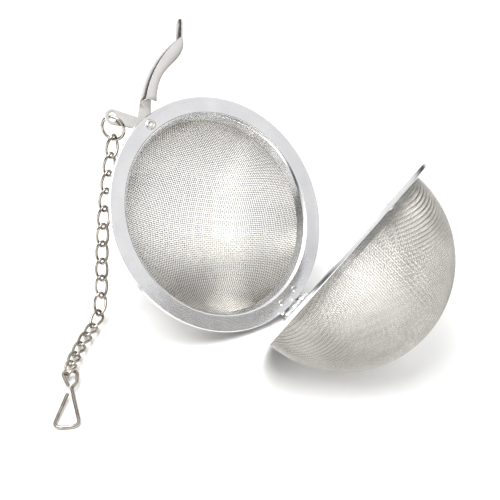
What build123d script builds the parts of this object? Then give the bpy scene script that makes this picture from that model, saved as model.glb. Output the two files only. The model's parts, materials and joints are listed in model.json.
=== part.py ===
from build123d import *
import math
import os

os.makedirs("parts", exist_ok=True)

# Hinged mesh tea ball, standing open on a table, in millimetres.
# +Z is up, the table is z = 0, and the origin is under the middle of the whole object.
# Each half has its own frame: x runs from the rim's centre to the hinge, z out of the mouth.

# ---- driving dimensions ----
rim_radius = 32.5
mouth_radius = 27.7
rim_thickness = 1.2
sheet = 0.25
crest_height = 0.1
collar_depth = 2.9
collar_taper = 1.1
mesh_thickness = 0.4
bowl_radius = 28.45
bowl_centre_depth = 1.0
foot_flat_depth = 0.28
closed_gap = 0.4

hinge_out = 1.3
knuckle_radius = 0.9
pin_radius = 0.45
running_fit = 0.05
leaf_thickness = 0.4
leaf_length = 9.4
middle_knuckle = 3.2
knuckle_gap = 0.2

rivet_from_centre = 30.2
rivet_head_radius = 1.35
rivet_tube_radius = 0.9
rivet_bore_radius = 0.65

latch_sheet = 0.4
latch_gap = 0.2
latch_web_radius = 33.0
latch_swing = 48.0
latch_turn = 2.3
ear_reach = 10.5
ear_hole_radius = 1.25
ear_radius = 2.15
boss_radius = 1.45

wire_radius = 0.45
ring_radius = 3.2
link_length = 7.0
link_width = 3.8
link_pitch = 4.9
link_count = 16

hook_wire_radius = 0.5
hook_turn = 11.0

# How it stands: the hinge rises from the table, and both bowls touch the table.
hinge_heading = 51.0
hinge_rise = 19.0
opening_angle = 72.3
hinge_x, hinge_y = 10.91, 9.555

# ---- the two halves' frames ----
half_opening = math.radians(opening_angle / 2)
axis_dir = Vector(1, 0, 0).rotate(Axis.Y, -hinge_rise).rotate(Axis.Z, hinge_heading)
out_dir = Vector(1, 0, 0).rotate(Axis.Z, hinge_heading - 90)
up_dir = out_dir.cross(axis_dir)

normal_a = up_dir * math.sin(half_opening) + out_dir * math.cos(half_opening)
normal_b = up_dir * math.sin(half_opening) - out_dir * math.cos(half_opening)
to_hinge_a = out_dir * math.sin(half_opening) - up_dir * math.cos(half_opening)
to_hinge_b = out_dir * -math.sin(half_opening) - up_dir * math.cos(half_opening)

hinge_reach = rim_radius + hinge_out
bowl_centre_z = bowl_radius - foot_flat_depth
rim_centre_z = bowl_centre_z + bowl_centre_depth * normal_a.Z
hinge_z = rim_centre_z + hinge_reach * to_hinge_a.Z + closed_gap / 2 * normal_a.Z
hinge_point = Vector(hinge_x, hinge_y, hinge_z)


def half_frame(to_hinge, normal):
    centre = hinge_point - to_hinge * hinge_reach - normal * (closed_gap / 2)
    return Plane(origin=centre, x_dir=to_hinge, z_dir=normal)


def section_plane(frame, along=0.0):
    # cut through the mouth's axis and the hinge: x is the radius, y is out of the mouth
    origin = frame.origin + frame.y_dir * along
    return Plane(origin=origin, x_dir=frame.x_dir, z_dir=frame.y_dir * -1)


def mouth_axis(frame):
    return Axis(frame.origin, frame.z_dir)


frames = {"a": half_frame(to_hinge_a, normal_a), "b": half_frame(to_hinge_b, normal_b)}

# ---- rim section, from the front crests to the back of the hem ----
web_front = -crest_height
web_back = web_front - sheet
mesh_back = web_back - sheet
back_ring_back = mesh_back - sheet
collar_outer = mouth_radius + sheet
bowl_inner = bowl_radius - mesh_thickness
hem_inner = rim_radius - 0.75
hem_wall = rim_radius - 0.4
hem_lip = rim_radius - 1.5
lip_outer = mouth_radius + 0.9
ring_corner = 0.12

rim_section = [
    (mouth_radius - collar_taper, -collar_depth),
    (mouth_radius, web_front),
    (mouth_radius + 0.2, 0),
    (lip_outer - 0.2, 0),
    (lip_outer, web_front),
    (hem_inner - 0.2, web_front),
    (hem_inner, 0),
    (rim_radius - 0.15, 0),
    (rim_radius, -0.3),
    (rim_radius, -rim_thickness + 0.3),
    (rim_radius - 0.2, -rim_thickness),
    (hem_lip, -rim_thickness),
    (hem_lip, back_ring_back),
    (hem_wall, back_ring_back),
    (hem_wall, web_back),
    (collar_outer, web_back),
    (collar_outer - collar_taper, -collar_depth),
]

# ---- rivets through the rim ----
rivet_spots = {
    "a": (-rivet_from_centre * math.cos(math.radians(latch_turn)),
          rivet_from_centre * math.sin(math.radians(latch_turn))),
    "b": (-rivet_from_centre * math.cos(math.radians(latch_turn)),
          -rivet_from_centre * math.sin(math.radians(latch_turn))),
}
pip_radius = 0.4
rivet_holes = {"a": rivet_tube_radius, "b": pip_radius}
hinge_rivet_radius = 0.55
hinge_rivet_head = 1.0
hinge_rivet_height = 0.2
hinge_rivet_x = 30.1
hinge_rivet_y = 3.0
hinge_rivet_spots = [(hinge_rivet_x, -hinge_rivet_y), (hinge_rivet_x, hinge_rivet_y)]
tail_height = 0.35


def is_outer_bend(corner):
    # the sheet's visible bends: every corner of the section except those at and under the hem's lip
    return abs(corner.Y) <= rim_thickness and corner.Y not in (web_back, back_ring_back)


def drill_rim(side):
    # the latch rivet's hole and the two hinge rivets' holes, right through the rim
    with BuildSketch(frames[side].offset(-rim_thickness - 1)) as holes:
        with Locations(rivet_spots[side]):
            Circle(rivet_holes[side])
        with Locations(*hinge_rivet_spots):
            Circle(hinge_rivet_radius)
    extrude(holes.sketch, amount=rim_thickness + 2, mode=Mode.SUBTRACT)


def finish(piece, name):
    piece.part.label = name
    export_step(piece.part, f"parts/{name}.step")


for side, frame in frames.items():
    # pressed rim: rounded inner lip, recessed face, and an outer hem folded over the cloth
    with BuildPart() as flange_ring:
        with BuildSketch(section_plane(frame)) as section:
            with BuildLine():
                Polyline(*rim_section, close=True)
            make_face()
            bends = section.vertices().filter_by(is_outer_bend)
            fillet(bends, ring_corner)
        revolve(axis=mouth_axis(frame))
        drill_rim(side)
    finish(flange_ring, f"flange_ring_{side}")

    # woven bowl: its flared edge is held inside the rim, and it has a small flat where it rests
    with BuildPart() as mesh_bowl:
        with BuildSketch(section_plane(frame)):
            with BuildLine():
                Polyline((bowl_inner, -bowl_centre_depth), (bowl_inner, web_back), (hem_wall, web_back),
                         (hem_wall, mesh_back), (bowl_radius, mesh_back), (bowl_radius, -bowl_centre_depth))
                CenterArc((0, -bowl_centre_depth), bowl_radius, -90, 90)
                Line((0, -bowl_centre_depth - bowl_radius), (0, -bowl_centre_depth - bowl_inner))
                CenterArc((0, -bowl_centre_depth), bowl_inner, -90, 90)
            make_face()
        revolve(axis=mouth_axis(frame))
        split(bisect_by=Plane.XY, keep=Keep.TOP)
        drill_rim(side)
    finish(mesh_bowl, f"mesh_bowl_{side}")

    # flat ring behind the cloth's flared edge, trapped by the hem
    with BuildPart() as backing_ring:
        with BuildSketch(frame.offset(back_ring_back)):
            Circle(hem_wall)
            Circle(bowl_radius + 0.15, mode=Mode.SUBTRACT)
        extrude(amount=sheet)
        drill_rim(side)
    finish(backing_ring, f"backing_ring_{side}")


# ---- hinge: a leaf riveted behind each rim, with knuckles on one pin ----
knuckle_spans = {
    "a": [(-leaf_length / 2, -middle_knuckle / 2 - knuckle_gap), (middle_knuckle / 2 + knuckle_gap, leaf_length / 2)],
    "b": [(-middle_knuckle / 2, middle_knuckle / 2)],
}
knuckle_bores = {"a": pin_radius, "b": pin_radius + running_fit}
leaf_back = -rim_thickness - leaf_thickness
leaf_inner = hinge_rivet_x - hinge_rivet_head - 0.3
leaf_outer = rim_radius + 0.25
knuckle_tip = hinge_reach + knuckle_radius
neck = leaf_outer - 0.3

for side, frame in frames.items():
    with BuildPart() as leaf:
        with BuildSketch(frame.offset(leaf_back)):
            with Locations(((leaf_inner + leaf_outer) / 2, 0)):
                RectangleRounded(leaf_outer - leaf_inner, leaf_length, 0.4)
            with Locations(*hinge_rivet_spots):
                Circle(hinge_rivet_radius, mode=Mode.SUBTRACT)
        extrude(amount=leaf_thickness)
        for low, high in knuckle_spans[side]:
            with BuildSketch(section_plane(frame, low)):
                with BuildLine():
                    Polyline((neck, leaf_back), (hinge_reach, leaf_back),
                             (knuckle_tip, leaf_back + knuckle_radius),
                             (knuckle_tip, closed_gap / 2), (hinge_reach, closed_gap / 2),
                             (hinge_reach - 0.5, -rim_thickness), (neck, -rim_thickness), close=True)
                make_face()
                with Locations((hinge_reach, closed_gap / 2)):
                    Circle(knuckle_radius)
            extrude(amount=low - high)
        with BuildSketch(section_plane(frame)):
            with Locations((hinge_reach, closed_gap / 2)):
                Circle(knuckle_bores[side])
        extrude(amount=leaf_length, both=True, mode=Mode.SUBTRACT)
    finish(leaf, f"hinge_leaf_{side}")

    # two rivets hold the leaf: flat heads on the rim's face, domed tails behind
    with BuildPart() as hinge_rivets:
        for x, y in hinge_rivet_spots:
            with BuildSketch(frame.offset(web_front)):
                with Locations((x, y)):
                    Circle(hinge_rivet_head)
            extrude(amount=hinge_rivet_height)
            with BuildSketch(frame.offset(leaf_back)):
                with Locations((x, y)):
                    Circle(hinge_rivet_radius)
            extrude(amount=web_front - leaf_back)
            with BuildSketch(frame.offset(leaf_back)):
                with Locations((x, y)):
                    Circle(hinge_rivet_head)
            extrude(amount=-tail_height, taper=30)
    finish(hinge_rivets, f"hinge_rivets_{side}")

pin_plane = Plane(origin=hinge_point, x_dir=to_hinge_a, z_dir=axis_dir)
pin_half = leaf_length / 2 + running_fit
pin_head_radius = 0.75

with BuildPart() as hinge_pin:
    with BuildSketch(pin_plane):
        Circle(pin_radius)
    extrude(amount=pin_half, both=True)
    for end in (1, -1):
        with BuildSketch(pin_plane.offset(end * pin_half)):
            Circle(pin_head_radius)
        extrude(amount=end * tail_height, taper=25)
finish(hinge_pin, "hinge_pin")

# ---- latch: it swivels on a hollow rivet, and its channel slides over both rims ----
rivet_a = frames["a"].from_local_coords((*rivet_spots["a"], 0))
outward = (rivet_a - frames["a"].origin).normalized()
latched_frame = Plane(origin=rivet_a, x_dir=outward, z_dir=normal_a * -1)
open_outward = outward.rotate(Axis((0, 0, 0), normal_a), latch_swing)
latch_frame = Plane(origin=rivet_a, x_dir=open_outward, z_dir=normal_a * -1)
latch_back_plate = rim_thickness + latch_gap
latch_front_plate = -(closed_gap + rim_thickness + latch_gap)

# hollow rivet: a flat head on the rim's face, and a turned-over tail behind the latch's plate
rivet_head_height = 0.3
rivet_tail = latch_back_plate + latch_sheet + running_fit

with BuildPart() as latch_rivet:
    with BuildSketch(latched_frame.offset(-rivet_head_height)):
        Circle(rivet_head_radius)
    extrude(amount=rivet_head_height + crest_height)
    with BuildSketch(latched_frame.offset(crest_height)):
        Circle(rivet_tube_radius)
    extrude(amount=rivet_tail - crest_height)
    with BuildSketch(latched_frame.offset(rivet_tail)):
        Circle(rivet_head_radius)
    extrude(amount=tail_height, taper=20)
    with BuildSketch(latched_frame.offset(-rivet_head_height)):
        Circle(rivet_bore_radius)
    extrude(amount=rivet_head_height + rivet_tail + tail_height, mode=Mode.SUBTRACT)
finish(latch_rivet, "latch_rivet")

# locating pip: its tip enters the hollow rivet when the halves meet
pip_frame = Plane(origin=frames["b"].from_local_coords((*rivet_spots["b"], 0)), z_dir=normal_b)
pip_height = 0.5
pip_cone = 0.3
pip_tail_radius = 1.1

with BuildPart() as locating_pip:
    with BuildSketch(pip_frame.offset(-rim_thickness)):
        Circle(pip_radius)
    extrude(amount=rim_thickness + pip_height - pip_cone)
    with BuildSketch(pip_frame.offset(pip_height - pip_cone)):
        Circle(pip_radius)
    extrude(amount=pip_cone, taper=25)
    with BuildSketch(pip_frame.offset(-rim_thickness)):
        Circle(pip_tail_radius)
    extrude(amount=-tail_height, taper=25)
finish(locating_pip, "locating_pip")


def around_rim(radius, degrees):
    # a point in the latched frame, given from the rim's centre
    angle = math.radians(degrees)
    return (radius * math.cos(angle) - rivet_from_centre, radius * math.sin(angle))


rim_middle = (-rivet_from_centre, 0)
web_inner = latch_web_radius - latch_sheet / 2
web_outer = latch_web_radius + latch_sheet / 2
lever_start, lever_end = 11.0, 50.0
lever_sweep = lever_end - lever_start
latch_height = latch_back_plate + latch_sheet * 2 - latch_front_plate
ear_spot = (ear_reach, 1.2)
tip_length = 5.6
tip_height = 3.4
tip_outward = 48.0

# widths of the channel's two plates, as (degrees along the rim, width inwards from the web)
root_widths = [(lever_end, 1.0), (22.0, 2.4), (3.0, 4.0), (-1.0, 0.0)]
front_widths = [(lever_end, 0.0), (46.0, 2.7), (38.5, 3.5), (27.0, 2.6), (19.0, 2.6), (11.5, 3.2)]
root_edge = [around_rim(web_outer - width, degrees) for degrees, width in root_widths]
front_edge = [around_rim(web_outer - width, degrees) for degrees, width in front_widths]

with BuildPart() as swivel_latch:
    # back plate: the ear's arm, and the lever's root running behind the rim
    with BuildSketch(latch_frame.offset(latch_back_plate)):
        Circle(boss_radius)
        with Locations(ear_spot):
            Circle(ear_radius)
        make_hull()
        with BuildLine():
            CenterArc(rim_middle, web_outer, root_widths[-1][0], lever_end - root_widths[-1][0])
            Line(around_rim(web_outer, lever_end), root_edge[0])
            ThreePointArc(*root_edge[:3])
            Line(*root_edge[2:])
        make_face()
        with Locations(ear_spot):
            Circle(ear_hole_radius, mode=Mode.SUBTRACT)
        Circle(rivet_tube_radius + running_fit, mode=Mode.SUBTRACT)
    extrude(amount=latch_sheet)
    # web of the channel, along the rims' outer edges when latched
    with BuildSketch(latch_frame.offset(latch_front_plate - latch_sheet)):
        with BuildLine():
            CenterArc(rim_middle, web_outer, lever_start, lever_sweep)
            Line(around_rim(web_outer, lever_end), around_rim(web_inner, lever_end))
            CenterArc(rim_middle, web_inner, lever_start, lever_sweep)
            Line(around_rim(web_inner, lever_start), around_rim(web_outer, lever_start))
        make_face()
    extrude(amount=latch_height)
    # front plate, waisted, and wider again towards the thumb end
    with BuildSketch(latch_frame.offset(latch_front_plate - latch_sheet)):
        with BuildLine():
            CenterArc(rim_middle, web_outer, lever_start, lever_sweep)
            Spline(*front_edge)
            Line(front_edge[-1], around_rim(web_outer, lever_start))
        make_face()
    extrude(amount=latch_sheet)
    # thumb tip: a tongue at the end of the web, bent outwards, with a rounded end
    tip_point = around_rim(latch_web_radius, lever_end - 0.3)
    tip_base = latch_frame.from_local_coords((*tip_point, latch_front_plate - latch_sheet))
    tip_dir = latch_frame.x_dir.rotate(Axis((0, 0, 0), latch_frame.z_dir), lever_end + 90 - tip_outward)
    tip_plane = Plane(origin=tip_base, x_dir=tip_dir, z_dir=tip_dir.cross(latch_frame.z_dir))
    with BuildSketch(tip_plane.offset(-latch_sheet / 2)) as tongue:
        with Locations((tip_length / 2, tip_height / 2)):
            Rectangle(tip_length, tip_height)
        fillet(tongue.vertices().sort_by(Axis.X)[-2:], tip_height / 2 - 0.1)
    extrude(amount=latch_sheet)
finish(swivel_latch, "swivel_latch")

# ---- chain: a jump ring through the ear, then links down to the table and along it ----
ear_hole = latch_frame.from_local_coords((*ear_spot, latch_back_plate + latch_sheet / 2))
down = Vector(0, 0, -1)
ring_heading = -110.0
ring_normal = Vector(1, 0, 0).rotate(Axis.Z, ring_heading)
ring_centre = ear_hole + down * ring_radius

with BuildPart() as jump_ring:
    with BuildLine(Plane(origin=ring_centre, x_dir=down, z_dir=ring_normal)) as ring_path:
        CenterArc((0, 0), ring_radius, 100, 358)
    with BuildSketch(Plane(origin=ring_path.line @ 0, z_dir=ring_path.line % 0)):
        Circle(wire_radius)
    sweep(path=ring_path.line)
finish(jump_ring, "jump_ring")

# The chain's route in plan from the ear, and its height above the table, chosen by hand.
wire_gap = link_length - 2 * wire_radius - link_pitch
chain_lie = 1.64
last_pin_height = 1.87
last_link_turn = 65.0
route_from_ear = [
    (-1.9, -3.3, 38.0),
    (-3.3, -6.1, 27.0),
    (-4.1, -8.9, 14.0),
    (-4.5, -10.9, 6.2),
    (-5.1, -14.3, 2.4),
    (-7.0, -21.4, chain_lie),
    (-9.0, -30.6, chain_lie),
    (-10.0, -40.6, last_pin_height),
]
chain_start = ring_centre + down * (ring_radius - wire_gap / 2)
route_points = [chain_start]
for east, north, height in route_from_ear:
    route_points.append(Vector(ear_hole.X + east, ear_hole.Y + north, height))
chain_route = Edge.make_spline(route_points)
pins = [chain_route.position_at(i * link_pitch / chain_route.length) for i in range(link_count + 1)]

link_bend = link_width / 2 - wire_radius
link_straight = link_length - link_width
first_twist = -25.0
straightened_by = 8

links = []
for i in range(link_count):
    middle = (pins[i] + pins[i + 1]) * 0.5
    along = (pins[i + 1] - pins[i]).normalized()
    flat_normal = Vector(1, 0, 0).cross(along).normalized()
    twist = first_twist * max(0.0, 1 - i / straightened_by)
    turn = last_link_turn if i == link_count - 1 else twist + (45 if i % 2 else -45)
    link_normal = flat_normal.rotate(Axis((0, 0, 0), along), turn)
    links.append((middle, along, link_normal))

for i, (middle, along, link_normal) in enumerate(links):
    with BuildPart() as chain_link:
        with BuildLine(Plane(origin=middle, x_dir=along, z_dir=link_normal)) as link_path:
            end = link_straight / 2
            Line((-end, link_bend), (end, link_bend))
            CenterArc((end, 0), link_bend, 90, -180)
            Line((end, -link_bend), (-end, -link_bend))
            CenterArc((-end, 0), link_bend, -90, -180)
        with BuildSketch(Plane(origin=link_path.line @ 0, z_dir=link_path.line % 0)):
            Circle(wire_radius)
        sweep(path=link_path.line)
    finish(chain_link, f"chain_link_{i + 1:02d}")

# ---- cup hook: one bent wire lying on the table, its raised eye in the last link ----
last_along = links[-1][1]
eye_length = 2.9
hook_length = 19.6
hook_radii = [1.6, 1.6, 1.6, 2.5, 2.3, 2.1]
hook_corners = [
    (eye_length, -0.6),
    (-eye_length, -2.1),
    (-eye_length, 2.0),
    (1.9, 1.7),
    (4.2, 0.25),
    (hook_length, 1.75),
    (hook_length, -4.9),
    (6.5, -0.9),
]
hook_drop = last_pin_height - hook_wire_radius - 0.03
hook_slope = math.degrees(math.asin(hook_drop / (hook_length + eye_length)))
hook_heading = Vector(last_along.X, last_along.Y, 0).normalized().rotate(Axis.Z, hook_turn)
hook_side = Vector(0, 0, 1).cross(hook_heading)
hook_along = hook_heading.rotate(Axis((0, 0, 0), hook_side), hook_slope)
hook_start = pins[-1] - last_along * (wire_gap / 2)
hook_plane = Plane(origin=hook_start + hook_along * eye_length, x_dir=hook_along,
                   z_dir=hook_along.cross(hook_side))

with BuildPart() as cup_hook:
    with BuildLine(hook_plane) as hook_path:
        FilletPolyline(*hook_corners, radius=hook_radii)
    with BuildSketch(Plane(origin=hook_path.line @ 0, z_dir=hook_path.line % 0)):
        Circle(hook_wire_radius)
    sweep(path=hook_path.line)
finish(cup_hook, "cup_hook")
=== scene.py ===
import bmesh
import bpy
import json
import math
import numpy as np
from mathutils import Matrix, Vector


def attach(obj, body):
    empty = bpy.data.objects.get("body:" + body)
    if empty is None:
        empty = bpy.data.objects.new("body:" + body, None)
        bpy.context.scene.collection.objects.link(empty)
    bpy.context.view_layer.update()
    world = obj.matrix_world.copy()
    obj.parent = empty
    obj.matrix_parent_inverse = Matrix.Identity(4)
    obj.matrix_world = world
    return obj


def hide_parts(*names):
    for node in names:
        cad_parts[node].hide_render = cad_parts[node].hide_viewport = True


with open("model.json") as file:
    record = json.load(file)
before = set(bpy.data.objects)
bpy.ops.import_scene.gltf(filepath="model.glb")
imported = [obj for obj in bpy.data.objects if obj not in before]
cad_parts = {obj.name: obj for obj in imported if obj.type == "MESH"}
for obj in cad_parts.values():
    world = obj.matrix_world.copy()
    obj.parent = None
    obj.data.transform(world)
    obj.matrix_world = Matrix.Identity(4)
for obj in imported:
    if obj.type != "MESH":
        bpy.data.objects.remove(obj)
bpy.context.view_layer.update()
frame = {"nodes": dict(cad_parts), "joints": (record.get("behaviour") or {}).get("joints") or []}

# Sizes are in millimetres and are turned into metres when a mesh is placed.
MM = 0.001

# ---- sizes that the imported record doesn't state ----
RIM_RADIUS = 32.5
MOUTH_RADIUS = 27.7
RIM_THICKNESS = 1.2
SHEET = 0.25
CREST = 0.1
COLLAR_DEPTH = 2.9
COLLAR_TAPER = 1.1
BOWL_RADIUS = 28.45
BOWL_CENTRE_DEPTH = 1.0
HINGE_REACH = 33.8
CLOSED_GAP = 0.4
RIVET_TUBE = 0.9

# ---- places, from the record ----
joints = {j["name"]: j for j in frame["joints"]}
hinge = joints["bowl_hinge"]
latch_joint = joints["latch_swivel"]
hinge_axis = Vector(hinge["axis"])
hinge_point = Vector(hinge["pos_m"])
opening = math.radians(-hinge["range_deg"][0])
normal_a = -Vector(latch_joint["axis"])
normal_b = Matrix.Rotation(opening, 3, hinge_axis) @ -normal_a


def axes_matrix(origin, x_dir, z_dir):
    z = z_dir.normalized()
    x = (x_dir - z * x_dir.dot(z)).normalized()
    y = z.cross(x)
    turned = Matrix((x, y, z)).transposed().to_4x4()
    return Matrix.Translation(origin) @ turned


def half_frame(normal, along):
    # origin at the rim's centre, x towards the hinge, z out of the mouth
    to_hinge = along.cross(normal)
    origin = hinge_point - to_hinge * HINGE_REACH * MM - normal * CLOSED_GAP / 2 * MM
    return axes_matrix(origin, to_hinge, normal)


halves = {"a": half_frame(normal_a, hinge_axis), "b": half_frame(normal_b, -hinge_axis)}
rivet = Vector(latch_joint["pos_m"])


# ---- materials ----
def node(tree, kind, x=0, y=0, **values):
    n = tree.nodes.new(kind)
    n.location = (x, y)
    for key, value in values.items():
        n.inputs[key.replace("_", " ")].default_value = value
    return n


PATCH_EDGES = (0.35, 0.65)
GRAIN_FINER = 14
GRAIN_STRENGTH = 0.15
GRAIN_DEPTH = 0.03


def metal(name, light, dark, rough, rough_spread, scale):
    # one metal: its colour and its roughness drift between two values in soft patches
    m = bpy.data.materials.new(name)
    m.use_nodes = True
    tree = m.node_tree
    shader = tree.nodes["Principled BSDF"]
    shader.inputs["Metallic"].default_value = 1.0
    where = node(tree, "ShaderNodeTexCoord", -900)
    patches = node(tree, "ShaderNodeTexNoise", -700, Scale=scale, Detail=4.0, Roughness=0.6)
    colour = node(tree, "ShaderNodeValToRGB", -450, 100)
    for element, edge, shade in zip(colour.color_ramp.elements, PATCH_EDGES, (dark, light)):
        element.position = edge
        element.color = (*shade, 1)
    gloss = node(tree, "ShaderNodeMapRange", -450, -150)
    gloss.inputs["To Min"].default_value = rough - rough_spread
    gloss.inputs["To Max"].default_value = rough + rough_spread
    link = tree.links.new
    link(where.outputs["Object"], patches.inputs["Vector"])
    link(patches.outputs["Fac"], colour.inputs["Fac"])
    link(patches.outputs["Fac"], gloss.inputs["Value"])
    link(colour.outputs["Color"], shader.inputs["Base Color"])
    link(gloss.outputs["Result"], shader.inputs["Roughness"])
    # the fine unevenness that rolling and drawing leave
    grain = node(tree, "ShaderNodeTexNoise", -700, -350, Scale=scale * GRAIN_FINER, Detail=3.0)
    relief = node(tree, "ShaderNodeBump", -300, -350, Strength=GRAIN_STRENGTH,
                  Distance=GRAIN_DEPTH * MM)
    link(where.outputs["Object"], grain.inputs["Vector"])
    link(grain.outputs["Fac"], relief.inputs["Height"])
    link(relief.outputs["Normal"], shader.inputs["Normal"])
    return m


rim_steel = metal("rim_steel", (0.82, 0.82, 0.83), (0.73, 0.73, 0.745), 0.20, 0.04, 90)
wire_steel = metal("wire_steel", (0.67, 0.65, 0.615), (0.49, 0.475, 0.445), 0.17, 0.05, 60)
latch_steel = metal("latch_steel", (0.76, 0.74, 0.72), (0.66, 0.64, 0.62), 0.24, 0.04, 120)
chain_nickel = metal("chain_nickel", (0.50, 0.46, 0.41), (0.30, 0.27, 0.24), 0.14, 0.05, 260)


# ---- mesh helpers ----
def place(matrix, points):
    turned = np.array(matrix.to_3x3())
    return np.asarray(points, float) @ turned.T * MM + np.array(matrix.translation)


def finish_piece(mesh, material, body, nodes, sharp):
    # smooth shading up to the sharp angle in degrees, then the piece's place in the frame
    mesh.polygons.foreach_set("use_smooth", [True] * len(mesh.polygons))
    mesh.set_sharp_from_angle(angle=math.radians(sharp))
    mesh.materials.clear()
    mesh.materials.append(material)
    piece = bpy.data.objects.new(mesh.name, mesh)
    bpy.context.scene.collection.objects.link(piece)
    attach(piece, body)
    if nodes:
        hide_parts(*nodes)


def add_piece(name, points, faces, material, body, nodes, sharp=40):
    mesh = bpy.data.meshes.new(name)
    mesh.from_pydata([tuple(p) for p in points], [], faces)
    mesh.validate()
    finish_piece(mesh, material, body, nodes, sharp)


LONGEST_CUT = 0.49
NEARLY_STRAIGHT = 0.999


def rounded(corners, steps=5):
    # corners are (x, y, radius); each gets a quadratic curve that reaches as far as such an arc
    out = []
    count = len(corners)
    for k, (x, y, radius) in enumerate(corners):
        here = np.array((x, y))
        before = np.array(corners[k - 1][:2]) - here
        after = np.array(corners[(k + 1) % count][:2]) - here
        if radius == 0:
            out.append(here)
            continue
        back, ahead = before / np.linalg.norm(before), after / np.linalg.norm(after)
        cut = radius / math.tan(math.acos(np.clip(np.dot(back, ahead), -1, NEARLY_STRAIGHT)) / 2)
        start = here + back * min(cut, np.linalg.norm(before) * LONGEST_CUT)
        end = here + ahead * min(cut, np.linalg.norm(after) * LONGEST_CUT)
        for s in np.linspace(0, 1, steps + 1):
            out.append((1 - s) ** 2 * start + 2 * s * (1 - s) * here + s ** 2 * end)
    return np.array(out)


def lathe(section, turns=256):
    # section: closed outline of (radius, height); turned about the z axis
    section = np.asarray(section, float)
    count = len(section)
    angles = np.linspace(0, 2 * math.pi, turns, endpoint=False)
    points = [(r * math.cos(a), r * math.sin(a), h) for a in angles for r, h in section]
    faces = []
    for t in range(turns):
        here, there = t * count, (t + 1) % turns * count
        for k in range(count):
            j = (k + 1) % count
            faces.append((here + k, here + j, there + j, there + k))
    return points, faces


def lathe_solid(section, turns=48):
    # section: an open outline that starts and ends on the axis
    section = np.asarray(section, float)
    inner = section[1:-1]
    count = len(inner)
    angles = np.linspace(0, 2 * math.pi, turns, endpoint=False)
    points = [(r * math.cos(a), r * math.sin(a), h) for a in angles for r, h in inner]
    start, end = len(points), len(points) + 1
    points += [(0, 0, section[0][1]), (0, 0, section[-1][1])]
    faces = []
    for t in range(turns):
        here, there = t * count, (t + 1) % turns * count
        for k in range(count - 1):
            faces.append((here + k, here + k + 1, there + k + 1, there + k))
        faces.append((start, here, there))
        faces.append((end, there + count - 1, here + count - 1))
    return points, faces


# a direction that no wire starts along
NO_WIRE_DIRECTION = np.array((0.31, 0.17, 0.93))


def tube(line, radius, sides=12, closed=False, normals=None):
    # a round wire along the line; normals fix how its rings are turned
    line = np.asarray(line, float)
    count = len(line)
    if closed:
        ahead = np.roll(line, -1, 0) - np.roll(line, 1, 0)
    else:
        ahead = np.gradient(line, axis=0)
    ahead /= np.linalg.norm(ahead, axis=1)[:, None]
    if normals is None:
        normals = np.zeros_like(line)
        normals[0] = np.cross(ahead[0], NO_WIRE_DIRECTION)
        for k in range(1, count):
            normals[k] = normals[k - 1] - ahead[k] * np.dot(normals[k - 1], ahead[k])
            normals[k] /= np.linalg.norm(normals[k])
        normals[0] /= np.linalg.norm(normals[0])
        if closed:
            # spread the turn that is left at the seam over the whole loop
            back = normals[-1] - ahead[0] * np.dot(normals[-1], ahead[0])
            left = math.atan2(np.dot(np.cross(back, normals[0]), ahead[0]), np.dot(back, normals[0]))
            side = np.cross(ahead, normals)
            turn = np.linspace(0, left, count, endpoint=False)[:, None]
            normals = normals * np.cos(turn) + side * np.sin(turn)
    normals = normals - ahead * np.sum(normals * ahead, axis=1)[:, None]
    normals /= np.linalg.norm(normals, axis=1)[:, None]
    side = np.cross(ahead, normals)
    around = np.linspace(0, 2 * math.pi, sides, endpoint=False) + math.pi / sides
    rings = (line[:, None, :] + radius * (np.cos(around)[None, :, None] * normals[:, None, :]
                                          + np.sin(around)[None, :, None] * side[:, None, :]))
    points = rings.reshape(-1, 3)
    faces = []
    for k in range(count if closed else count - 1):
        here, there = k * sides, (k + 1) % count * sides
        for s in range(sides):
            t = (s + 1) % sides
            faces.append((here + s, here + t, there + t, there + s))
    if not closed:
        faces.append(tuple(range(sides))[::-1])
        faces.append(tuple(range((count - 1) * sides, count * sides)))
    return points, faces


def join(parts):
    points, faces = [], []
    for some_points, some_faces in parts:
        shift = len(points)
        points += [tuple(p) for p in some_points]
        faces += [tuple(k + shift for k in f) for f in some_faces]
    return points, faces


DRILL_TOP = 2
DRILL_END = -6


def bored(points, faces, x, y, radius):
    # the same mesh with a round hole drilled through it along z
    side = [(radius, DRILL_TOP), (radius, DRILL_END)]
    drill = lathe_solid([(0, DRILL_TOP), *side, (0, DRILL_END)], 72)
    pair = []
    for some_points, some_faces in ((points, faces), (np.asarray(drill[0]) + (x, y, 0), drill[1])):
        mesh = bpy.data.meshes.new("blank")
        mesh.from_pydata([tuple(p) for p in some_points], [], some_faces)
        pair.append(bpy.data.objects.new("blank", mesh))
        bpy.context.scene.collection.objects.link(pair[-1])
    cut = pair[0].modifiers.new("bore", "BOOLEAN")
    cut.operation = "DIFFERENCE"
    cut.solver = "EXACT"
    cut.object = pair[1]
    view = bpy.context.evaluated_depsgraph_get()
    result = bpy.data.meshes.new_from_object(pair[0].evaluated_get(view))
    points = [tuple(v.co) for v in result.vertices]
    faces = [tuple(f.vertices) for f in result.polygons]
    for blank in pair:
        bpy.data.objects.remove(blank, do_unlink=True)
    return points, faces


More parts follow.
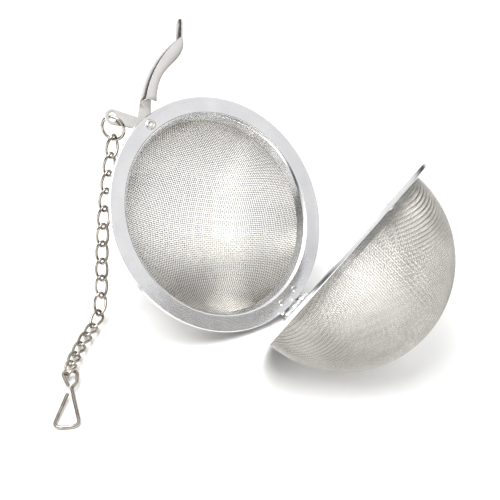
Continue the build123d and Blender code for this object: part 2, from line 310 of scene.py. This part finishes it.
# ---- rims: their sections are corners (radius, height, rounding) about the rim's axis ----
WEB_FRONT = -CREST
WEB_BACK = WEB_FRONT - SHEET
BACKING_BACK = WEB_BACK - 2 * SHEET
FACE_FRONT = WEB_FRONT + 0.06
HEM_RETURN = 1.5
HEM_INSIDE = RIM_RADIUS - 0.4
BACKING_OUTER = RIM_RADIUS - 0.42
BACKING_INNER = BOWL_RADIUS + 0.15
COLLAR_OUTER = MOUTH_RADIUS + SHEET
RIM_SECTION = [
    (MOUTH_RADIUS - COLLAR_TAPER, -COLLAR_DEPTH, 0.1),
    (MOUTH_RADIUS - 0.2, -0.7, 0.8),
    (MOUTH_RADIUS + 0.35, -0.02, 0.6),
    (MOUTH_RADIUS + 1.2, FACE_FRONT, 3),
    (RIM_RADIUS - 1.2, FACE_FRONT, 3),
    (RIM_RADIUS - 0.12, 0, 0.2),
    (RIM_RADIUS, -0.15, 0.2),
    (RIM_RADIUS, -RIM_THICKNESS + 0.2, 0.25),
    (RIM_RADIUS - 0.2, -RIM_THICKNESS, 0.25),
    (RIM_RADIUS - HEM_RETURN, -RIM_THICKNESS, 0.1),
    (RIM_RADIUS - HEM_RETURN, BACKING_BACK, 0),
    (HEM_INSIDE, BACKING_BACK, 0),
    (HEM_INSIDE, WEB_BACK, 0),
    (COLLAR_OUTER, WEB_BACK, 0.1),
    (COLLAR_OUTER - COLLAR_TAPER, -COLLAR_DEPTH, 0.1),
]
BACKING_SECTION = [
    (BACKING_INNER, BACKING_BACK, 0.05),
    (BACKING_INNER, BACKING_BACK + SHEET, 0.05),
    (BACKING_OUTER, BACKING_BACK + SHEET, 0),
    (BACKING_OUTER, BACKING_BACK, 0),
]

# the hollow rivet goes through half a's rim, so its web and backing have a hole there
rivet_at = halves["a"].inverted() @ rivet / MM

for side, matrix in halves.items():
    points, faces = lathe(rounded(RIM_SECTION), 360)
    if side == "a":
        points, faces = bored(points, faces, rivet_at.x, rivet_at.y, RIVET_TUBE)
    add_piece(f"rim_{side}", place(matrix, points), faces, rim_steel, f"bowl_{side}",
              [f"flange_ring_{side}"])
    points, faces = lathe(rounded(BACKING_SECTION, 2), 180)
    if side == "a":
        points, faces = bored(points, faces, rivet_at.x, rivet_at.y, RIVET_TUBE)
    add_piece(f"backing_{side}", place(matrix, points), faces, rim_steel, f"bowl_{side}",
              [f"backing_ring_{side}"])

# ---- woven bowls ----
# A square-woven cloth pulled over a ball keeps its pitch along both wires and only shears, so
# each new crossing is the mirror image of the last one in the plane through its two neighbours.
WIRE_PITCH = 0.59
WIRE_RADIUS = 0.115
CLOTH_RADIUS = 28.24
CRIMP = 0.125
CLOTH_TURN = {"a": 40, "b": 68}
FLOOR_CLEARANCE = 0.01
NET_TOP = 0.1
RIM_EDGE = -0.002
TAIL_DEPTH = 0.1


def cloth_net():
    step = WIRE_PITCH / CLOTH_RADIUS
    count = int(math.pi / 2 / step) + 4
    net = np.full((count, count, 3), np.nan)
    turns = np.arange(count) * step
    net[:, 0] = np.stack((np.sin(turns), 0 * turns, -np.cos(turns)), 1)
    net[0, :] = np.stack((0 * turns, np.sin(turns), -np.cos(turns)), 1)
    for i in range(count - 1):
        for j in range(count - 1):
            a, b, corner = net[i + 1, j], net[i, j + 1], net[i, j]
            if not (np.isfinite(a).all() and np.isfinite(b).all()):
                continue
            if min(a[2], b[2]) > NET_TOP:
                continue
            mirror = np.cross(a, b)
            size = np.linalg.norm(mirror)
            if size < 1e-9:
                continue
            mirror /= size
            net[i + 1, j + 1] = corner - 2 * np.dot(corner, mirror) * mirror
    whole = np.full((2 * count - 1, 2 * count - 1, 3), np.nan)
    middle = count - 1
    for flip_x in (1, -1):
        for flip_y in (1, -1):
            rows = middle + flip_x * np.arange(count)
            columns = middle + flip_y * np.arange(count)
            whole[np.ix_(rows, columns)] = net * np.array((flip_x, flip_y, 1))
    return whole


def cloth_wire(directions, heights):
    # one wire from rim to rim: crossings on the ball, then a short straight end inside the rim
    keep = np.isfinite(directions).all(1) & (directions[:, 2] < RIM_EDGE)
    inside = np.flatnonzero(keep)
    if len(inside) < 3:
        return None
    first, last = inside[0], inside[-1]
    run = directions[first:last + 1]
    rise = heights[first:last + 1]
    ends = []
    for beyond, edge in ((first - 1, run[0]), (last + 1, run[-1])):
        outer = None
        if 0 <= beyond < len(directions) and np.isfinite(directions[beyond]).all():
            outer = directions[beyond]
        if outer is not None and outer[2] > edge[2] + 1e-6:
            share = -edge[2] / (outer[2] - edge[2])
            crossing = edge + (outer - edge) * share
        else:
            crossing = np.array((edge[0], edge[1], 0.0))
        crossing[2] = 0
        ends.append(crossing / np.linalg.norm(crossing))
    normals = np.vstack((ends[0], run, ends[1]))
    reach = CLOTH_RADIUS + np.concatenate(([0], rise, [0]))
    line = normals * reach[:, None]
    line[:, 2] -= BOWL_CENTRE_DEPTH
    tails = []
    for end in ends:
        tail = end * CLOTH_RADIUS
        tail[2] = WEB_BACK - TAIL_DEPTH
        tails.append(tail)
    line = np.vstack((tails[0], line, tails[1]))
    normals = np.vstack((ends[0], normals, ends[1]))
    return line, normals


def above_table(line, up, height):
    # the flat that the cloth gets where it rests: up is the table's normal, seen by the bowl
    low = line @ up + height
    lift = np.maximum(0, WIRE_RADIUS + FLOOR_CLEARANCE - low)
    return line + lift[:, None] * up


net = cloth_net()
signs = np.indices(net.shape[:2]).sum(0) % 2 * 2 - 1

for side, matrix in halves.items():
    turned = matrix @ Matrix.Rotation(math.radians(CLOTH_TURN[side]), 4, "Z")
    up = np.array(turned.to_3x3().inverted() @ Vector((0, 0, 1)))
    height = turned.translation.z / MM
    for family in ("warp", "weft"):
        parts = []
        for k in range(net.shape[0]):
            if family == "warp":
                wire = cloth_wire(net[:, k], signs[:, k] * CRIMP)
            else:
                wire = cloth_wire(net[k, :], signs[k, :] * -CRIMP)
            if wire is not None:
                line, normals = wire
                parts.append(tube(above_table(line, up, height), WIRE_RADIUS, 4, normals=normals))
        points, faces = join(parts)
        nodes = [f"mesh_bowl_{side}"] if family == "warp" else []
        add_piece(f"mesh_{family}_{side}", place(turned, points), faces, wire_steel, f"bowl_{side}",
                  nodes, 180)


# ---- fittings: the CAD's shapes with their pressed edges rounded over ----
EDGE_ROUND = 0.06
WELD_DISTANCE = 0.002
FLAT_ANGLE = 1.0
CRISP_ANGLE = 35


def refined(name, material, body):
    # a copy of the CAD part: flat faces joined again, then every crisp edge rounded
    mesh = bpy.data.meshes.new(f"{name}_fine")
    work = bmesh.new()
    work.from_mesh(frame["nodes"][name].data)
    bmesh.ops.remove_doubles(work, verts=work.verts, dist=WELD_DISTANCE * MM)
    bmesh.ops.dissolve_limit(work, angle_limit=math.radians(FLAT_ANGLE), verts=work.verts,
                             edges=work.edges)
    limit = math.radians(CRISP_ANGLE)
    crisp = [e for e in work.edges if len(e.link_faces) == 2 and e.calc_face_angle() > limit]
    bmesh.ops.bevel(work, geom=crisp, offset=EDGE_ROUND * MM, segments=2, profile=0.5,
                    affect="EDGES", clamp_overlap=True)
    bmesh.ops.triangulate(work, faces=[f for f in work.faces if len(f.verts) > 4])
    work.to_mesh(mesh)
    work.free()
    finish_piece(mesh, material, body, [name], 50)


refined("swivel_latch", latch_steel, "latch")
for side in halves:
    refined(f"hinge_leaf_{side}", rim_steel, f"bowl_{side}")

PIN_HALF = 4.75
PIN_RADIUS = 0.45
PIN_HEAD_RADIUS = 0.75
PIN_HEAD_TOP = PIN_HALF + 0.36
PIN_HEAD_SHOULDER = PIN_HALF + 0.1
RIVET_BORE = 0.65
RIVET_HEAD = 1.35
RIVET_ROLL = RIVET_HEAD + 0.12
RIVET_BACK = 1.85
RIVET_CURL = RIVET_BACK + 0.05
RIVET_END = RIVET_BACK + 0.38
HINGE_RIVETS = [(30.1, -3.0), (30.1, 3.0)]
HINGE_RIVET = 0.55
HINGE_RIVET_HEAD = 1.0
LEAF_BACK = 1.6
PIP = 0.4
PIP_TAIL = RIM_THICKNESS + 0.35

# hinge pin: a domed head at each end
pin_outline = rounded([
    (0, PIN_HEAD_TOP, 0), (0.45, PIN_HEAD_TOP, 0.25), (PIN_HEAD_RADIUS, PIN_HEAD_SHOULDER, 0.2),
    (PIN_HEAD_RADIUS, PIN_HALF, 0.04), (PIN_RADIUS, PIN_HALF, 0),
    (PIN_RADIUS, -PIN_HALF, 0), (PIN_HEAD_RADIUS, -PIN_HALF, 0.04),
    (PIN_HEAD_RADIUS, -PIN_HEAD_SHOULDER, 0.2), (0.45, -PIN_HEAD_TOP, 0.25), (0, -PIN_HEAD_TOP, 0),
])
points, faces = lathe_solid(pin_outline, 40)
pin_matrix = axes_matrix(hinge_point, Vector((0, 0, 1)), hinge_axis)
add_piece("hinge_pin_fine", place(pin_matrix, points), faces, latch_steel, "bowl_a", ["hinge_pin"])

# hollow rivet: its head is rolled over, and the bore is open right through
rivet_outline = rounded([
    (RIVET_BORE, -RIVET_BACK, 0.1), (RIVET_BORE, 0.3, 0.2), (RIVET_BORE + 0.2, 0.36, 0.2),
    (RIVET_HEAD - 0.1, 0.34, 0.2), (RIVET_ROLL, 0.15, 0.1), (RIVET_ROLL, -CREST, 0.02),
    (RIVET_TUBE, -CREST, 0), (RIVET_TUBE, -RIVET_CURL, 0), (RIVET_HEAD, -RIVET_CURL, 0.05),
    (RIVET_HEAD - 0.1, -RIVET_END, 0.2), (RIVET_BORE + 0.15, -RIVET_END, 0.15),
])
points, faces = lathe(rivet_outline, 72)
rivet_matrix = axes_matrix(rivet, Vector((0, 0, 1)), normal_a)
add_piece("latch_rivet_fine", place(rivet_matrix, points), faces, latch_steel, "bowl_a",
          ["latch_rivet"])

# hinge rivets: a low head on the rim's face, a domed one behind the leaf
outline = rounded([
    (0, 0.12, 0), (0.6, 0.1, 0.25), (HINGE_RIVET_HEAD, -CREST, 0.05), (HINGE_RIVET, -CREST, 0),
    (HINGE_RIVET, -LEAF_BACK, 0), (HINGE_RIVET_HEAD, -LEAF_BACK, 0.05),
    (0.7, -LEAF_BACK - 0.33, 0.25), (0, -LEAF_BACK - 0.35, 0),
])
one_points, one_faces = lathe_solid(outline, 40)
for side, matrix in halves.items():
    parts = [(np.asarray(one_points) + (x, y, 0), one_faces) for x, y in HINGE_RIVETS]
    points, faces = join(parts)
    add_piece(f"hinge_rivets_{side}_fine", place(matrix, points), faces, latch_steel, f"bowl_{side}",
              [f"hinge_rivets_{side}"])

# locating pip: on half b, facing the hollow rivet's bore when the infuser is closed
pip_outline = rounded([
    (0, 0.5, 0), (0.26, 0.5, 0.12), (PIP, 0.2, 0.1), (PIP, -RIM_THICKNESS, 0),
    (1.1, -RIM_THICKNESS, 0.05), (0.9, -PIP_TAIL, 0.2), (0, -PIP_TAIL, 0),
])
points, faces = lathe_solid(pip_outline, 40)
points = np.asarray(points) + (rivet_at.x, -rivet_at.y, 0)
add_piece("locating_pip_fine", place(halves["b"], points), faces, latch_steel, "bowl_b",
          ["locating_pip"])

# ---- chain ----
LINK_LENGTH = 7.0
LINK_WIDTH = 3.8
CHAIN_WIRE = 0.40
BLUNT_ENDS = 0.8
BLUNT_SIDES = 0.9
RING_WIRE = 0.45
RING_RADIUS = 3.2
LINK_COUNT = 16
HALF_TWIST = 45
LAST_TURN = 65
RING_CUT = 100


def wire_axes(name):
    # the middle, length direction and flat normal of a CAD link, from its own points
    points = np.array([v.co for v in frame["nodes"][name].data.vertices], float)
    middle = points.mean(0)
    _, vectors = np.linalg.eigh(np.cov((points - middle).T))
    across = (points - middle) @ vectors
    middle = middle + vectors @ ((across.max(0) + across.min(0)) / 2)
    return Vector(middle), Vector(vectors[:, 2]), Vector(vectors[:, 0])


def link_line(near_turn, far_turn, count=72):
    # oval centreline along x, its plane turning from one end to the other
    bend = LINK_WIDTH / 2 - CHAIN_WIRE
    half = LINK_LENGTH / 2 - CHAIN_WIRE
    out = []
    for s in np.linspace(0, 2 * math.pi, count, endpoint=False):
        x = half * math.copysign(abs(math.cos(s)) ** BLUNT_ENDS, math.cos(s))
        y = bend * math.copysign(abs(math.sin(s)) ** BLUNT_SIDES, math.sin(s))
        turn = math.radians(near_turn + (far_turn - near_turn) * (x / half + 1) / 2)
        out.append((x, y * math.cos(turn), y * math.sin(turn)))
    return out


link_names = [f"chain_link_{k + 1:02d}" for k in range(LINK_COUNT)]
link_axes = [wire_axes(name) for name in link_names]
for k, name in enumerate(link_names):
    middle, along, flat = link_axes[k]
    ahead = link_axes[k + 1][0] - middle if k + 1 < LINK_COUNT else middle - link_axes[k - 1][0]
    if along.dot(ahead) < 0:
        along = -along
    last = k == LINK_COUNT - 1
    turn = -LAST_TURN if last else HALF_TWIST * (-1) ** k
    mean = Matrix.Rotation(math.radians(turn), 3, along) @ flat
    matrix = axes_matrix(middle, along, mean)
    far_turn = LAST_TURN if last else HALF_TWIST
    points, faces = tube(link_line(-HALF_TWIST, far_turn), CHAIN_WIRE, 12, closed=True)
    add_piece(f"link_{k + 1:02d}", place(matrix, points), faces, chain_nickel, name, [name])

# jump ring: it hangs in the latch's ear, cut through once
ring_centre = Vector(joints["chain_joint_01"]["pos_m"])
ring_normal = Vector(joints["chain_joint_01"]["axis"])
ring_matrix = axes_matrix(ring_centre, Vector((0, 0, -1)), ring_normal)
turns = np.radians(np.linspace(RING_CUT + 1, RING_CUT + 359, 90))
ring_line = np.stack((RING_RADIUS * np.cos(turns), RING_RADIUS * np.sin(turns), 0 * turns), 1)
points, faces = tube(ring_line, RING_WIRE, 14)
add_piece("ring_fine", place(ring_matrix, points), faces, chain_nickel, "jump_ring",
          ["jump_ring"])

# cup hook: one bent wire, its eye in the last link
HOOK_WIRE = 0.5
HOOK_TURN = 11
HOOK_STEP = 0.5
HOOK_CORNERS = [(2.9, -0.6, 0), (-2.9, -2.1, 1.6), (-2.9, 2.0, 1.6), (1.9, 1.7, 1.6), (4.2, 0.25, 2.5),
                (19.6, 1.75, 2.3), (19.6, -4.9, 2.1), (6.5, -0.9, 0)]
last_along = link_axes[-1][1]
if last_along.dot(link_axes[-1][0] - link_axes[-2][0]) < 0:
    last_along = -last_along
level_along = Vector((last_along.x, last_along.y, 0))
hook_heading = Matrix.Rotation(math.radians(HOOK_TURN), 3, "Z") @ level_along
hook_heading.normalize()
hook_side = Vector((0, 0, 1)).cross(hook_heading)
hook_axis = Vector(joints["hook_swing"]["axis"])
if hook_axis.z < 0:
    hook_axis = -hook_axis
hook_matrix = axes_matrix(Vector(joints["hook_swing"]["pos_m"]), hook_side.cross(hook_axis), hook_axis)
bends = rounded(HOOK_CORNERS, 12)
hook_line = []
for k in range(len(bends) - 1):
    pieces = max(1, int(np.linalg.norm(bends[k + 1] - bends[k]) / HOOK_STEP))
    for s in range(pieces):
        hook_line.append(bends[k] + (bends[k + 1] - bends[k]) * s / pieces)
hook_line.append(bends[-1])
hook_line = [(x, y, 0) for x, y in hook_line]
points, faces = tube(hook_line, HOOK_WIRE, 14)
add_piece("hook_fine", place(hook_matrix, points), faces, chain_nickel, "cup_hook",
          ["cup_hook"])

# ---- floor, light and camera; places here are in metres ----
FLOOR_SIZE = 6
FLOOR_COLOUR = (0.93, 0.93, 0.92)
FLOOR_ROUGHNESS = 0.6
floor_material = bpy.data.materials.new("floor_white")
floor_material.use_nodes = True
floor_shader = floor_material.node_tree.nodes["Principled BSDF"]
floor_shader.inputs["Base Color"].default_value = (*FLOOR_COLOUR, 1)
floor_shader.inputs["Roughness"].default_value = FLOOR_ROUGHNESS
bpy.ops.mesh.primitive_plane_add(size=FLOOR_SIZE)
floor = bpy.context.object
floor.name = "floor"
floor.data.materials.append(floor_material)

# the camera sees a white room, but the metal mirrors dark walls and a bright ceiling
world = bpy.data.worlds.new("studio")
bpy.context.scene.world = world
world.use_nodes = True
tree = world.node_tree
seen = tree.nodes["Background"]
seen.inputs["Color"].default_value = (1, 1, 1, 1)
where = node(tree, "ShaderNodeTexCoord", -900)
split = node(tree, "ShaderNodeSeparateXYZ", -700)
walls = node(tree, "ShaderNodeValToRGB", -500)
# (height of the direction, from 0 straight down to 1 straight up; light there)
WALLS = [(0.0, 0.20), (0.5, 0.05), (0.62, 0.08), (0.71, 0.90), (0.80, 1.05), (1.0, 1.05)]
while len(walls.color_ramp.elements) < len(WALLS):
    walls.color_ramp.elements.new(0.5)
for element, (position, light) in zip(walls.color_ramp.elements, WALLS):
    element.position = position
    element.color = (light, light, light, 1)
rise_of = node(tree, "ShaderNodeMapRange", -600)
rise_of.inputs["From Min"].default_value = -1
lit = node(tree, "ShaderNodeBackground", -200, -150)
ray = node(tree, "ShaderNodeLightPath", -200, 250)
mixed = node(tree, "ShaderNodeMixShader", 0)
link = tree.links.new
link(where.outputs["Generated"], split.inputs["Vector"])
link(split.outputs["Z"], rise_of.inputs["Value"])
link(rise_of.outputs["Result"], walls.inputs["Fac"])
link(walls.outputs["Color"], lit.inputs["Color"])
link(ray.outputs["Is Camera Ray"], mixed.inputs["Fac"])
link(lit.outputs["Background"], mixed.inputs[1])
link(seen.outputs["Background"], mixed.inputs[2])
link(mixed.outputs["Shader"], tree.nodes["World Output"].inputs["Surface"])

KEY_PLACE = Vector((-0.2, -0.2, 0.65))
KEY_AIM = Vector((0, 0, 0.02))
KEY_SIZE = 0.6
KEY_POWER = 6
key_data = bpy.data.lights.new("key", "AREA")
key_data.shape = "SQUARE"
key_data.size = KEY_SIZE
key_data.energy = KEY_POWER
key = bpy.data.objects.new("key", key_data)
key.location = KEY_PLACE
key.rotation_euler = (KEY_AIM - KEY_PLACE).to_track_quat("-Z", "Y").to_euler()
bpy.context.scene.collection.objects.link(key)

CAMERA_LENS = 100.8
CAMERA_SENSOR = 36
CAMERA_RISE = 28.38
CAMERA_DISTANCE = 0.379
AIM_FROM_RIM = Vector((8.3, -4.75, -8.82))
rim_centre = halves["a"].translation
aim = rim_centre + AIM_FROM_RIM * MM
rise = math.radians(CAMERA_RISE)
camera_data = bpy.data.cameras.new("camera")
camera_data.lens = CAMERA_LENS
camera_data.sensor_width = CAMERA_SENSOR
camera_data.clip_start = 0.01
camera = bpy.data.objects.new("camera", camera_data)
camera.location = aim + Vector((0, -math.cos(rise), math.sin(rise))) * CAMERA_DISTANCE
camera.rotation_euler = (math.pi / 2 - rise, 0, 0)
bpy.context.scene.collection.objects.link(camera)
bpy.context.scene.camera = camera
bpy.context.scene.view_settings.view_transform = "Standard"
